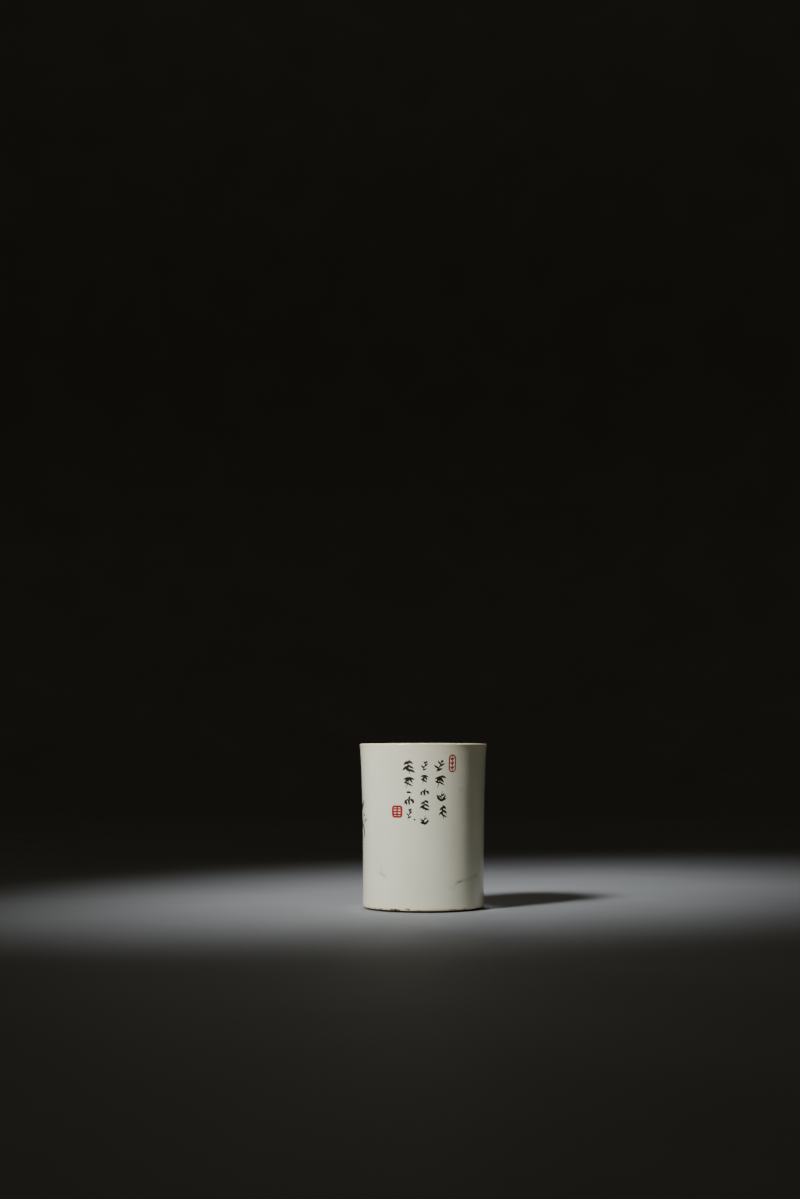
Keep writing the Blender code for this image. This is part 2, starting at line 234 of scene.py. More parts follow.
class Shading:
    """A material's node tree, with short ways to add to it."""

    def __init__(self, name):
        self.material = bpy.data.materials.new(name)
        self.material.use_nodes = True
        self.tree = self.material.node_tree
        self.shader = self.tree.nodes["Principled BSDF"]
        self.place = self.add("ShaderNodeTexCoord").outputs["Object"]

    def add(self, kind, **settings):
        node = self.tree.nodes.new(kind)
        for name, value in settings.items():
            setattr(node, name, value)
        return node

    def feed(self, socket, value):
        if isinstance(value, bpy.types.NodeSocket):
            self.tree.links.new(value, socket)
        else:
            socket.default_value = value

    def math(self, operation, a, b=0.0):
        node = self.add("ShaderNodeMath", operation=operation)
        self.feed(node.inputs[0], a)
        self.feed(node.inputs[1], b)
        return node.outputs[0]

    def noise(self, size, detail=2.0, vector=None, roughness=0.5):
        """Noise from 0 to 1 with features of a given size."""
        node = self.add("ShaderNodeTexNoise")
        self.feed(node.inputs["Vector"], vector or self.place)
        node.inputs["Scale"].default_value = 1 / size
        node.inputs["Detail"].default_value = detail
        node.inputs["Roughness"].default_value = roughness
        return node.outputs["Fac"]

    def span(self, value, low, high, to_low=0.0, to_high=1.0):
        """value between low and high, as a share from to_low to to_high."""
        node = self.add("ShaderNodeMapRange", interpolation_type="SMOOTHSTEP")
        self.feed(node.inputs["Value"], value)
        limits = {"From Min": low, "From Max": high, "To Min": to_low, "To Max": to_high}
        for name, number in limits.items():
            self.feed(node.inputs[name], number)
        return node.outputs["Result"]

    def mix(self, share, a, b):
        node = self.add("ShaderNodeMix", data_type="RGBA")
        self.feed(node.inputs["Factor"], share)
        self.feed(node.inputs["A"], (*a, 1) if isinstance(a, tuple) else a)
        self.feed(node.inputs["B"], (*b, 1) if isinstance(b, tuple) else b)
        return node.outputs["Result"]

    def value(self, name):
        node = self.add("ShaderNodeAttribute", attribute_name=name)
        return node.outputs["Fac"]

    def specks(self, cell, size, share):
        """Scattered round specks: 1 inside one, with a share of the cells holding one."""
        node = self.add("ShaderNodeTexVoronoi")
        self.feed(node.inputs["Vector"], self.place)
        node.inputs["Scale"].default_value = 1 / cell
        round_speck = self.span(node.outputs["Distance"], size / cell, 0.4 * size / cell)
        split = self.add("ShaderNodeSeparateColor")
        self.feed(split.inputs["Color"], node.outputs["Color"])
        chosen = self.math("GREATER_THAN", split.outputs["Red"], 1 - share)
        return self.math("MULTIPLY", round_speck, chosen)

    def bump(self, height, distance, below=None):
        node = self.add("ShaderNodeBump")
        self.feed(node.inputs["Height"], height)
        node.inputs["Distance"].default_value = distance
        if below is not None:
            self.feed(node.inputs["Normal"], below)
        return node.outputs["Normal"]

    def finish(self, colour, roughness, normal, **constants):
        self.feed(self.shader.inputs["Base Color"], colour)
        self.feed(self.shader.inputs["Roughness"], roughness)
        self.feed(self.shader.inputs["Normal"], normal)
        for name, value in constants.items():
            self.shader.inputs[name.replace("_", " ")].default_value = value
        return self.material


GLAZE_COOL = (0.69, 0.71, 0.575)
GLAZE_PALE = (0.745, 0.75, 0.62)
GLAZE_WARM = (0.80, 0.74, 0.53)
IRON_BROWN = (0.11, 0.055, 0.022)
SMUDGE_GREY = (0.17, 0.165, 0.13)
CLAY_PALE = (0.70, 0.63, 0.49)
CLAY_BUFF = (0.58, 0.49, 0.345)
CLAY_DARK = (0.36, 0.27, 0.17)
CLAY_FLASHED = (0.36, 0.235, 0.12)
# Near-black for the bare clay: real grime in specks, chips and on the standing ring, and painted shade
# over the chamfer under the foot, where a shadow gap falls
GRIME_AND_PAINTED_SHADE = (0.03, 0.02, 0.012)


def glaze_colour(shade):
    """The glaze's own white, with its slow drift and its warm edges."""
    cloud = shade.span(shade.noise(0.03, 3), 0.3, 0.7)
    white = shade.mix(cloud, GLAZE_COOL, GLAZE_PALE)
    return shade.mix(shade.value("warmth"), white, GLAZE_WARM)


def glaze_normal(shade):
    peel = shade.bump(shade.noise(0.0026, 1), 0.000014)
    return shade.bump(shade.noise(0.011, 1), 0.00008, peel)


def glaze_material():
    shade = Shading("clear_glaze")
    specks = shade.specks(0.0075, 0.00024, 0.16)
    dust = shade.math("MULTIPLY", shade.specks(0.003, 0.00011, 0.3), 0.5)
    soil_and_painted_shade = shade.math("MAXIMUM", shade.value("soil_and_painted_shade"), shade.math("MAXIMUM", specks, dust))
    colour = shade.mix(shade.value("smudge"), glaze_colour(shade), SMUDGE_GREY)
    colour = shade.mix(soil_and_painted_shade, colour, IRON_BROWN)
    wiped = shade.span(shade.noise(0.02, 4, roughness=0.6), 0.35, 0.75, 0.13, 0.24)
    pits = shade.math("SUBTRACT", 1.0, shade.specks(0.004, 0.0002, 0.2))
    normal = shade.bump(pits, 0.00003, glaze_normal(shade))
    return shade.finish(colour, wiped, normal, Coat_Weight=0.35, Coat_Roughness=0.05, IOR=1.5)


def biscuit_material():
    shade = Shading("fired_biscuit")
    grain = shade.noise(0.0009, 4, roughness=0.65)
    buff = shade.mix(shade.span(shade.noise(0.006, 3), 0.35, 0.65), CLAY_PALE, CLAY_BUFF)
    buff = shade.mix(shade.span(grain, 0.5, 0.8, 0, 0.4), buff, CLAY_DARK)
    flashed = shade.mix(shade.value("warmth"), buff, CLAY_FLASHED)
    specks = shade.specks(0.0022, 0.00022, 0.22)
    # This darkens the clay towards near-black: real dirt from the specks, the foot's chips and the worn
    # ring, and painted shade over the chamfer under the foot
    soil_and_painted_shade = shade.math("MAXIMUM", shade.value("soil_and_painted_shade"), specks)
    colour = shade.mix(soil_and_painted_shade, flashed, GRIME_AND_PAINTED_SHADE)
    pits = shade.math("SUBTRACT", 1.0, shade.specks(0.0013, 0.00025, 0.4))
    normal = shade.bump(pits, 0.00008, shade.bump(grain, 0.00012))
    rough = shade.span(grain, 0.2, 0.8, 0.7, 0.92)
    return shade.finish(colour, rough, normal)


def enamel_material(name, thin, roughness, streak=1.0):
    """Paint laid by brush: dense where it is loaded, and streaked or bare where it runs out."""
    shade = Shading(name)
    brush = shade.add("ShaderNodeAttribute", attribute_name="brush").outputs["Vector"]
    streaks = shade.noise(0.3, 3, vector=brush, roughness=0.6)
    grain = shade.noise(0.0004, 3)
    load = shade.value("load")
    streaks = shade.math("MULTIPLY", streaks, 0.9 * streak)
    ragged = shade.math("ADD", streaks, shade.math("MULTIPLY", grain, 0.45))
    cover = shade.span(shade.math("SUBTRACT", shade.math("MULTIPLY", load, 2.1), ragged), 0, 0.32)
    tint = shade.add("ShaderNodeAttribute", attribute_name="tint").outputs["Color"]
    pools = shade.math("MULTIPLY", shade.noise(0.0016, 2), 0.5)
    pooled = shade.span(shade.math("ADD", load, pools), 0.7, 1.15)
    paint = shade.mix(pooled, thin, tint)
    colour = shade.mix(cover, glaze_colour(shade), paint)
    normal = shade.bump(cover, 0.00003, shade.bump(grain, 0.00001, glaze_normal(shade)))
    rough = shade.span(cover, 0, 1, 0.17, roughness)
    return shade.finish(colour, rough, normal, Coat_Weight=0.2, Coat_Roughness=0.1)


# ---------------------------------------------------------------- glazes and clay

TURNS = 840


def glaze_line(angle):
    """Height where the outer glaze stops. It was wiped by hand, so it wanders."""
    x, y = noise_place(angle)
    wander = 0.45 * ripple(x, y, 0, 0.02, 5) + 0.22 * ripple(x, y, 0, 0.005, 9)
    return GLAZE_LINE + (wander - 0.25) * MM


def lip_nick(angle, rise):
    """Depth of the small chip in the lip's outer edge. rise is 0 at the wall and 1 on the top."""
    return 0.5 * MM * bell(math.degrees(angle), LIP_NICK_ANGLE, 0.9) * bell(rise, 0.5, 0.5)


# Faint spots in the glaze: angle in degrees, height, width and height of the spot in mm, strength
WALL_STAINS = [
    (36, 94, 1.3, 1.7, 0.16),
    (20, 122, 1.8, 0.5, 0.14),
    (-56, 79, 0.8, 0.8, 0.12),
    (-27, 17, 1.2, 0.9, 0.08),
    (-48, 40, 0.7, 0.6, 0.1),
    (74, 61, 1, 1.4, 0.14),
    (103, 98, 1.2, 0.8, 0.16),
    (150, 33, 0.9, 1.1, 0.14),
    (-108, 112, 1.1, 0.7, 0.14),
]


# Two pale smudges low on the wall, worn almost away, as soft streaks: the angle in degrees and the
# height in mm where a streak starts and where it ends, its half width in mm, and how dark it is
SMUDGES = [
    (-42.6, 35, -42.2, 30.5, 1.3, 0.16),
    (-48.5, 30.4, -42, 28.6, 1.5, 0.1),
    (-44.5, 29.8, -38, 27, 1.6, 0.16),
    (-40.8, 28.6, -38.4, 27.2, 0.9, 0.26),
    (25.5, 18.5, 34, 22.4, 1.3, 0.08),
    (31, 22.4, 38.5, 23.9, 1.2, 0.16),
    (33.4, 22.8, 38, 23.7, 0.8, 0.42),
    (38, 23.8, 50, 25.4, 1.2, 0.15),
    (50, 25.4, 58, 26.6, 1.4, 0.11),
    (57.6, 26, 59.6, 28, 0.9, 0.4),
    (20, 19, 30, 18, 1.6, 0.05),
]


def smudge(angle, z):
    """How dark the smudges leave a place on the wall, from 0 to 1."""
    turn = math.degrees(math.remainder(angle, 2 * math.pi))
    if not (-56 < turn < 70 and 12 * MM < z < 42 * MM):
        return 0
    place = Vector((turn * MM_PER_DEGREE, z / MM))
    total = 0
    for start, start_height, end, end_height, half, dark in SMUDGES:
        foot = Vector((start * MM_PER_DEGREE, start_height))
        along = Vector((end * MM_PER_DEGREE, end_height)) - foot
        share = min(1, max(0, (place - foot).dot(along) / along.length_squared))
        apart = (place - foot - along * share).length / half
        total += dark * math.exp(-(apart**2))
    worn = 1 + 0.8 * noise.noise(Vector((place.x / 1.6, place.y / 1.2, 5)))
    return min(1, total * worn)


def wall_stain(angle, z):
    """Soil from 0 to 1 that the spots in the glaze give a place on the wall."""
    total = 0
    for place, height, width, tall, strength in WALL_STAINS:
        apart = math.remainder(angle - math.radians(place), 2 * math.pi) * MM_PER_RADIAN
        total += strength * math.exp(-((apart / width) ** 2) - ((z / MM - height) / tall) ** 2)
    return total


# Marks that the kiln and use left on the foot: angle in degrees, height in mm, width in degrees,
# height of the mark in mm, relief in mm (a chip is below the surface, grit stands on it), and soil
FOOT_MARKS = [
    (-30.5, 2.1, 1.5, 0.7, -0.3, 0.9),
    (-26.5, 1.9, 2.2, 0.9, -0.45, 1),
    (-23.4, 1.9, 1, 0.7, -0.35, 0.9),
    (-15.6, 2.9, 1, 0.5, -0.25, 0.9),
    (-13.4, 2.6, 0.9, 0.6, -0.3, 0.95),
    (-43, 1.8, 1.6, 0.5, -0.2, 0.7),
    (-4, 1.8, 2.4, 0.3, -0.1, 0.5),
    (8, 1.2, 1.5, 0.35, -0.12, 0.45),
    (25.6, 2.7, 0.7, 0.35, 0.3, 0.5),
    (28.4, 2.5, 0.6, 0.3, 0.3, 0.6),
    (31.2, 2.6, 0.9, 0.4, 0.35, 0.55),
    (26.8, 4.1, 0.5, 0.3, 0.15, 0.4),
    (30.2, 4.4, 0.4, 0.25, 0.12, 0.35),
    (42, 2, 1.8, 0.4, -0.15, 0.6),
    (61, 1.3, 2.2, 0.6, -0.25, 0.7),
    (118, 1.8, 1.4, 0.5, 0.28, 0.4),
    (-52, 2.1, 1.2, 0.4, -0.2, 0.5),
    (-78, 1.4, 2.5, 0.6, -0.3, 0.75),
    (-141, 1.5, 3.4, 0.7, -0.4, 0.8),
    (166, 1.6, 2, 0.6, -0.2, 0.6),
]


def foot_marks(angle, z):
    """Relief in metres, and soil from 0 to 1, that the marks give a place on the foot."""
    relief = 0
    soil_and_painted_shade = 0
    for place, height, width, tall, depth, dark in FOOT_MARKS:
        apart = math.degrees(math.remainder(angle - math.radians(place), 2 * math.pi))
        ragged = 1 + 0.5 * noise.noise(Vector((apart * 1.9, z / (0.4 * MM), place)))
        strength = math.exp(-((apart / width) ** 2) - ((z / MM - height) / tall) ** 2) * ragged
        relief += depth * strength
        soil_and_painted_shade = max(soil_and_painted_shade, dark * min(1, 1.5 * strength))
    return relief * MM, soil_and_painted_shade


def warm_near_edges(z):
    lip = 0.8 * math.exp(-(HEIGHT - z) / (7 * MM))
    foot = 0.65 * math.exp(-(z - GLAZE_LINE) / (3 * MM))
    return lip + foot


def make_outer_glaze(material):
    columns = []
    for i in range(TURNS):
        angle = 2 * math.pi * i / TURNS
        line = glaze_line(angle)
        column = Column(angle)
        lip_level = 0.12 * MM * ripple(math.sin(angle), math.cos(angle), 0, 0.5, 7)
        top = HEIGHT - 0.12 * MM + lip_level
        inner = well_radius(angle, top)
        outer = glaze_radius(angle, top - LIP_OUTER_ROUND)
        # from the meeting with the inner glaze, up and over the lip
        for z in [MEETING] + spaced(MEETING + SEAM, top - LIP_INNER_ROUND, 3)[:-1]:
            column.put(well_radius(angle, z), z, warm_near_edges(z))
        for a in spaced(180, 90, 8):
            turn = math.radians(a)
            z = top - LIP_INNER_ROUND * (1 - math.sin(turn))
            column.put(inner + LIP_INNER_ROUND * (1 + math.cos(turn)), z, 0.9)
        for a in spaced(90, 0, 9)[:-1]:
            turn = math.radians(a)
            chip = lip_nick(angle, math.sin(turn))
            spot = 1.6 * chip / MM
            z = top - LIP_OUTER_ROUND * (1 - math.sin(turn)) - chip
            column.put(outer - LIP_OUTER_ROUND * (1 - math.cos(turn)) - chip, z, 0.95, min(1, spot))
        # down the outside; the rows close up towards the foot
        start = top - LIP_OUTER_ROUND
        for t in spaced(0, 1, 165):
            z = start + (line + 0.3 * MM - start) * (1 - math.cos(math.pi * t)) / 2
            relief, soil_and_painted_shade = foot_marks(angle, z) if z < 6 * MM else (0, 0)
            stain = wall_stain(angle, z) + 0.2 * math.exp(-(z - line) / (0.8 * MM))
            radius = glaze_radius(angle, z) + max(0, relief)
            column.put(radius, z, warm_near_edges(z), min(1, soil_and_painted_shade + stain), smudge(angle, z))
        # the rolled edge at the glaze line, and back up behind
        edge = glaze_radius(angle, line)
        for a in spaced(0, -90, 5)[1:]:
            turn = math.radians(a)
            rolled = line + 0.3 * MM * (1 + math.sin(turn))
            soil_and_painted_shade = foot_marks(angle, rolled)[1]
            column.put(edge - GLAZE_DEPTH * (1 - math.cos(turn)), rolled, 0.6, soil_and_painted_shade)
        for z in spaced(line + 2 * MM, top - 2.2 * MM, 10):
            column.put(glaze_radius(angle, z) - GLAZE_DEPTH, z, 0)
        middle = (inner + outer) / 2
        column.put(middle + 0.6 * MM, top - 1 * MM, 0)
        column.put(middle - 0.6 * MM, top - 1 * MM, 0)
        column.put(inner + 1 * MM, top - 2.4 * MM, 0)
        column.put(well_radius(angle, MEETING) + GLAZE_DEPTH, MEETING, 0)
        columns.append(column)
    mesh = turned_mesh("glazed_outside", columns, True)
    add_piece("glazed_outside", mesh, material, ["outer_glaze"])


def make_inner_glaze(material):
    columns = []
    centre_z = FLOOR_LEVEL + CORNER_RADIUS
    for i in range(TURNS // 2):
        angle = 4 * math.pi * i / TURNS
        column = Column(angle)
        corner_radius = well_radius(angle, centre_z) - CORNER_RADIUS
        # the floor is a little dished, with the spiral of the potter's finger in it
        for t in spaced(0, 1, 40):
            radius = corner_radius * t
            spiral = 0.1 * math.sin(radius / (1.25 * MM) - angle) * (1 - t) * t * 4
            z = FLOOR_LEVEL + (spiral + 0.25 * (1 - t * t) * (1 - bell(t, 0, 0.12))) * MM
            column.put(radius, z, 0.1)
        for a in spaced(-90, 0, 10)[1:]:
            turn = math.radians(a)
            bend = 0.3 * math.cos(turn)
            radius = corner_radius + CORNER_RADIUS * math.cos(turn)
            column.put(radius, centre_z + CORNER_RADIUS * math.sin(turn), bend)
        for z in spaced(centre_z, MEETING - SEAM, 130)[1:] + [MEETING]:
            column.put(well_radius(angle, z), z, warm_near_edges(z))
        for z in spaced(MEETING, centre_z, 6):
            column.put(well_radius(angle, z) + GLAZE_DEPTH, z, 0)
        for a in spaced(0, -90, 5)[1:]:
            turn = math.radians(a)
            reach = CORNER_RADIUS + GLAZE_DEPTH
            column.put(corner_radius + reach * math.cos(turn), centre_z + reach * math.sin(turn), 0)
        column.put(0, FLOOR_LEVEL - GLAZE_DEPTH, 0)
        columns.append(column)
    mesh = turned_mesh("glazed_inside", columns, False)
    add_piece("glazed_inside", mesh, material, ["inner_glaze"])


def make_clay(material):
    """The wall of fired clay. Only its foot shows, so only the foot is fine."""
    columns = []
    for i in range(TURNS):
        angle = 2 * math.pi * i / TURNS
        x, y = noise_place(angle)
        line = glaze_line(angle)
        column = Column(angle)
        hidden = GLAZE_DEPTH + 0.05 * MM
        column.put(well_radius(angle, HEIGHT) + 1.4 * MM, HEIGHT - 3 * MM)
        column.put(MOUTH_RADIUS - 2.4 * MM, HEIGHT - 1.6 * MM)
        for z in spaced(HEIGHT - 4 * MM, line + 0.6 * MM, 10):
            column.put(glaze_radius(angle, z) - hidden, z)
        # the bare band of the foot, then the chamfer under it, painted near-black as painted shade for
        # the shadow gap under the foot
        for t in spaced(0, 1, 9):
            z = line + 0.25 * MM + (CHAMFER_HEIGHT - line - 0.25 * MM) * t
            relief, soil_and_painted_shade = foot_marks(angle, z)
            grain = 0.07 * MM * ripple(x, y, z, 0.0022, 21) + 0.05 * MM * ripple(x, y, z, 0.0009, 23)
            flash = 0.35 * t**2 + 0.25 * ripple(x, y, z, 0.004, 27)
            inset = 0.24 * MM + 0.14 * MM * t**3 - min(0.3 * MM, relief)
            column.put(glaze_radius(angle, z) - inset + grain, z, max(0, flash), soil_and_painted_shade)
        brink = glaze_radius(angle, CHAMFER_HEIGHT) - 0.38 * MM
        start = brink - CHAMFER_WIDTH
        for t in spaced(0, 1, 7)[1:]:
            z = CHAMFER_HEIGHT * (1 - t**0.9)
            relief, soil_and_painted_shade = foot_marks(angle, z + 0.4 * MM)
            radius = brink + (start - brink) * t + min(0, relief) * (1 - t)
            # painted shade: the chamfer's clay is darkened to near-black for the shadow under the foot,
            # with its chips' dirt kept
            column.put(radius, z, 0.8, max(soil_and_painted_shade, min(1, 0.7 + 2 * t)))
        for t in spaced(0, 1, 12)[1:]:
            radius = start + (RING_INNER + 0.5 * MM - start) * t
            worn = 0.25 + 0.4 * max(0, ripple(x * radius / start, y, 0, 0.004, 33))
            rise = 0.012 * MM * (1 + math.sin(radius / (0.16 * MM) + angle))
            column.put(radius, rise, 0.25, worn)
        for t in spaced(0, 1, 4)[1:]:
            column.put(RING_INNER + 0.5 * MM * (1 - t) ** 2, 0.6 * MM * t, 0.3, 0.1)
        column.put(RING_INNER, BASE_LEVEL, 0.4)
        column.put(RING_INNER, BASE_LEVEL + 2 * COAT)
        for z in spaced(BASE_LEVEL + 3 * COAT, HEIGHT - 6 * MM, 6):
            column.put(max(RING_INNER, well_radius(angle, z) + hidden), z)
        columns.append(column)
    mesh = turned_mesh("fired_wall", columns, True)
    add_piece("fired_wall", mesh, material, ["porcelain_wall"])


def make_base_glaze(material):
    """The glazed underside inside the foot ring, pooled where it meets the ring."""
    pool = 1.1 * MM
    columns = []
    for i in range(TURNS // 2):
        angle = 4 * math.pi * i / TURNS
        column = Column(angle)
        edge = RING_INNER - 0.02 * MM
        column.put(0, BASE_LEVEL + COAT, 0)
        column.put(edge, BASE_LEVEL + COAT, 0)
        wander = 0.25 * MM * ripple(math.sin(angle) * 0.05, math.cos(angle) * 0.05, 0, 0.012, 41)
        for a in spaced(0, 90, 7):
            turn = math.radians(a)
            drop = (pool + wander) * (1 - math.sin(turn))
            column.put(edge - pool * (1 - math.cos(turn)), BASE_LEVEL - drop, 0.5 * math.cos(turn))
        for t in spaced(1, 0, 30)[1:]:
            radius = (edge - pool) * t
            trimming = 0.04 * math.sin(radius / (0.9 * MM) + 1.5 * angle) * t
            column.put(radius, BASE_LEVEL + trimming * MM, 0.1)
        columns.append(column)
    mesh = turned_mesh("glazed_underside", columns, False)
    add_piece("glazed_underside", mesh, material, ["base_glaze"])


# ---------------------------------------------------------------- painting

INK = (0.010, 0.007, 0.0035)
WASH = (0.02, 0.014, 0.009)
RED = (0.27, 0.008, 0.006)
ROSE = (0.70, 0.34, 0.26)
PETAL_EDGE = (0.36, 0.025, 0.015)
THIN_INK = (0.055, 0.038, 0.018)
THIN_WASH = (0.09, 0.07, 0.045)
THIN_RED = (0.38, 0.026, 0.018)
THIN_ROSE = (0.70, 0.40, 0.30)

# The places across a stroke, from edge to edge, and how high and deep its enamel goes
ACROSS = [-1, -0.8, -0.45, 0, 0.45, 0.8, 1]
ENAMEL_RISE = 0.055 * MM
ENAMEL_SINK = 0.04 * MM


def patch(node):
    """A node's middle angle and height, and its width and height in mm on the unrolled wall."""
    points = node_points(node)
    middle = points.mean(axis=0)
    centre = math.atan2(middle[0], -middle[1])
    turns = np.arctan2(points[:, 0], -points[:, 1]) - centre
    turns = (turns + math.pi) % (2 * math.pi) - math.pi
    low, high = turns.min(), turns.max()
    bottom, top = points[:, 2].min(), points[:, 2].max()
    radius = glaze_radius(centre, (bottom + top) / 2)
    size = ((high - low) * radius / MM, (top - bottom) / MM)
    return centre + (low + high) / 2, (bottom + top) / 2, size


def smooth_route(points, steps):
    """A Catmull-Rom curve through points that each hold x, y and a width."""
    guide = [points[0]] + points + [points[-1]]
    route = []
    for i in range(len(points) - 1):
        a, b, c, d = guide[i : i + 4]
        for k in range(steps):
            t = k / steps
            bend = (2 * a - 5 * b + 4 * c - d) * t**2 + (3 * b - a - 3 * c + d) * t**3
            route.append((2 * b + (c - a) * t + bend) / 2)
    return route + [points[-1]]


class Painting:
    """Brush strokes that make up one piece of enamel, laid on the wall about a middle."""

    def __init__(self, name, seed):
        self.name = name
        self.random = random.Random(seed)
        self.points = []
        self.faces = []
        self.brush = []
        self.load = []
        self.tint = []
        self.layer = 0

    def stroke(self, route, load, tint, rough=0.06, closed=False, edge_tint=None):
        """One stroke along a route of (x, y, width). load goes from its start to its end."""
        self.layer += 1
        lift = 0.1 * ENAMEL_RISE * (self.layer % 5)
        seed = self.random.uniform(0, 50)
        first = len(self.points)
        loop = len(ACROSS) + 1
        count = len(route)
        along = 0
        for i, here in enumerate(route):
            before = route[(i - 1) % count if closed else max(i - 1, 0)]
            after = route[(i + 1) % count if closed else min(i + 1, count - 1)]
            heading = (after - before).xy.normalized()
            side = Vector((-heading.y, heading.x))
            if i:
                along += (here - before).xy.length
            share = i / (count - 1)
            wet = load[0] + (load[1] - load[0]) * share
            ends = 0 if closed else max(0, 1 - 6 * min(share, 1 - share))
            for a in ACROSS:
                jitter = rough * noise.noise(Vector((along * 2.2, a * 3, seed)))
                spot = here.xy + side * (here.z / 2) * (a + jitter * (abs(a) > 0.5) * 2)
                height = ENAMEL_RISE * ((1 - a * a) * (1 - 0.6 * ends) - 0.2) + lift
                rim = max(abs(a) ** 4, ends**2)
                colour = tint if edge_tint is None else self.blend(tint, edge_tint, rim)
                self.put(spot, height, (a + seed, along * 0.16, seed), wet * (1 - 0.3 * a**6), colour)
            self.put(here.xy, -ENAMEL_SINK, (seed, along * 0.16, seed), wet, tint)
        self.skin(first, count, loop, closed)

    @staticmethod
    def blend(a, b, share):
        return tuple(p + (q - p) * share for p, q in zip(a, b))

    def put(self, spot, height, brush, load, tint):
        self.points.append((spot.x, spot.y, height))
        self.brush.append(brush)
        self.load.append(load)
        self.tint.append((*tint, 1))

    def skin(self, first, count, loop, closed):
        for i in range(count if closed else count - 1):
            here = first + i * loop
            there = first + (i + 1) % count * loop
            for j in range(loop):
                k = (j + 1) % loop
                self.faces.append((here + j, there + j, there + k, here + k))
        if not closed:
            last = first + (count - 1) * loop
            self.faces.append(tuple(first + j for j in range(loop)))
            self.faces.append(tuple(last + j for j in reversed(range(loop))))

    def leaf(self, base, heading, length, width, load, tint, bow=0.08):
        """One dab of a loaded brush: blunt where it was pressed, pointed where it lifted."""
        along = Vector((math.cos(heading), math.sin(heading)))
        side = Vector((-along.y, along.x))
        route = []
        for t in spaced(0, 1, 14):
            pressed = 0.5 + 0.5 * math.sin(math.pi / 2 * min(1, t / 0.25))
            lifted = 1 - 0.88 * (max(0, t - 0.35) / 0.65) ** 1.9
            centre = base + along * length * t + side * bow * length * math.sin(math.pi * t)
            route.append(Vector((*centre, width * pressed * lifted)))
        self.stroke(route, load, tint)

    def dot(self, centre, size, load, tint, edge_tint=None):
        route = []
        for t in spaced(-1, 1, 8):
            width = size * max(0.06, math.sqrt(1 - t * t))
            route.append(Vector((centre.x + t * size / 2, centre.y, width)))
        self.stroke(route, load, tint, edge_tint=edge_tint)

    def fit(self, size):
        """Moves and stretches the strokes to fill a width and a height about the middle."""
        flat = np.array(self.points)
        low, high = flat[:, :2].min(axis=0), flat[:, :2].max(axis=0)
        flat[:, :2] = (flat[:, :2] - (low + high) / 2) * (np.array(size) / (high - low))
        self.points = flat.tolist()

    def lay(self, angle, height, material, replaced=()):
        """Wraps the strokes onto the glaze and makes the piece."""
        places = []
        for x, y, lift in self.points:
            z = height + y * MM
            turn = angle + x * MM / glaze_radius(angle, z)
            places.append(on_wall(glaze_radius(turn, z) + lift, turn, z))
        mesh = bpy.data.meshes.new(self.name)
        mesh.from_pydata(places, [], self.faces)
        add_values(mesh, "brush", "FLOAT_VECTOR", "vector", self.brush)
        add_values(mesh, "load", "FLOAT", "value", self.load)
        add_values(mesh, "tint", "FLOAT_COLOR", "color", self.tint)
        warmth = [warm_near_edges(place[2]) for place in places]
        add_values(mesh, "warmth", "FLOAT", "value", warmth)
        add_piece(self.name, mesh, material, list(replaced))


# Each kind of sprig, in a box one unit wide and high about its middle: the points that its stem
# passes, and for each leaf the share of the stem below it, its heading in degrees and its length
SPRIGS = {
    "bamboo": {
        "stem": [(-0.2, -0.5), (-0.02, 0), (0.04, 0.46)],
        "leaves": [
            (0.97, -24, 0.46),
            (0.95, -158, 0.44),
            (0.86, -58, 0.5),
            (0.84, -124, 0.46),
            (0.46, -36, 0.44),
            (0.4, 152, 0.34),
        ],
    },
    "twig": {
        "stem": [(-0.28, -0.48), (-0.04, -0.04), (0.12, 0.34)],
        "leaves": [
            (0.14, 22, 0.44),
            (0.36, 138, 0.42),
            (0.56, 34, 0.44),
            (0.8, 126, 0.36),
            (0.96, 66, 0.24),
        ],
    },
    "grass": {
        "stem": [(0.04, -0.5), (0, -0.02), (0.12, 0.5)],
        "leaves": [
            (0.04, 126, 0.8),
            (0.04, 58, 0.72),
            (0.12, 152, 0.52),
            (0.12, 26, 0.56),
            (0.42, 148, 0.34),
            (0.56, 34, 0.36),
        ],
    },
    "reed": {
        "stem": [(0.08, -0.5), (-0.06, 0), (0.02, 0.5)],
        "leaves": [
            (0.92, -40, 0.34),
            (0.84, -146, 0.38),
            (0.62, -34, 0.46),
            (0.54, -138, 0.44),
            (0.3, -28, 0.42),
            (0.22, 140, 0.36),
        ],
    },
    "spray": {
        "stem": [(-0.42, 0.06), (0, 0.26), (0.44, 0.18)],
        "leaves": [
            (0.1, -66, 0.42),
            (0.32, -122, 0.46),
            (0.4, -74, 0.56),
            (0.62, -112, 0.5),
            (0.7, -48, 0.44),
            (0.9, -96, 0.36),
            (0.5, 64, 0.28),
        ],
    },
    "dab": {"stem": [], "leaves": [(0, -12, 1)]},
}
SPRIG_COLUMNS = {
    "right": ["twig", "bamboo", "grass", "reed"],
    "middle": ["twig", "bamboo", "spray", "reed", "grass"],
    "left": ["reed", "bamboo", "dab", "spray", "twig"],
}
LEAF_WIDTH = 0.19
STEM_WIDTHS = (0.035, 0.085, 0.04)
DAB_WIDTH = 0.75


def make_sprigs(material):
    """The three columns of leaf sprigs, on the same plan as the frame's solids."""
    for side, kinds in SPRIG_COLUMNS.items():
        for i, kind in enumerate(kinds):
            node = f"ink_sprig_{side}_{i + 1}"
            angle, height, size = patch(node)
            sprig = Painting(f"brushed_{node}", len(side) + 10 * i)
            paint_sprig(sprig, kind, size)
            sprig.fit(size)
            sprig.lay(angle, height, material, [node])
    angle, height, size = patch("ink_dot")
    dot = Painting("brushed_ink_dot", 7)
    dot.leaf(Vector((0, 0)), -0.9, 1.9, 1.25, (1, 0.9), INK)
    dot.fit(size)
    dot.lay(angle, height, material, ["ink_dot"])


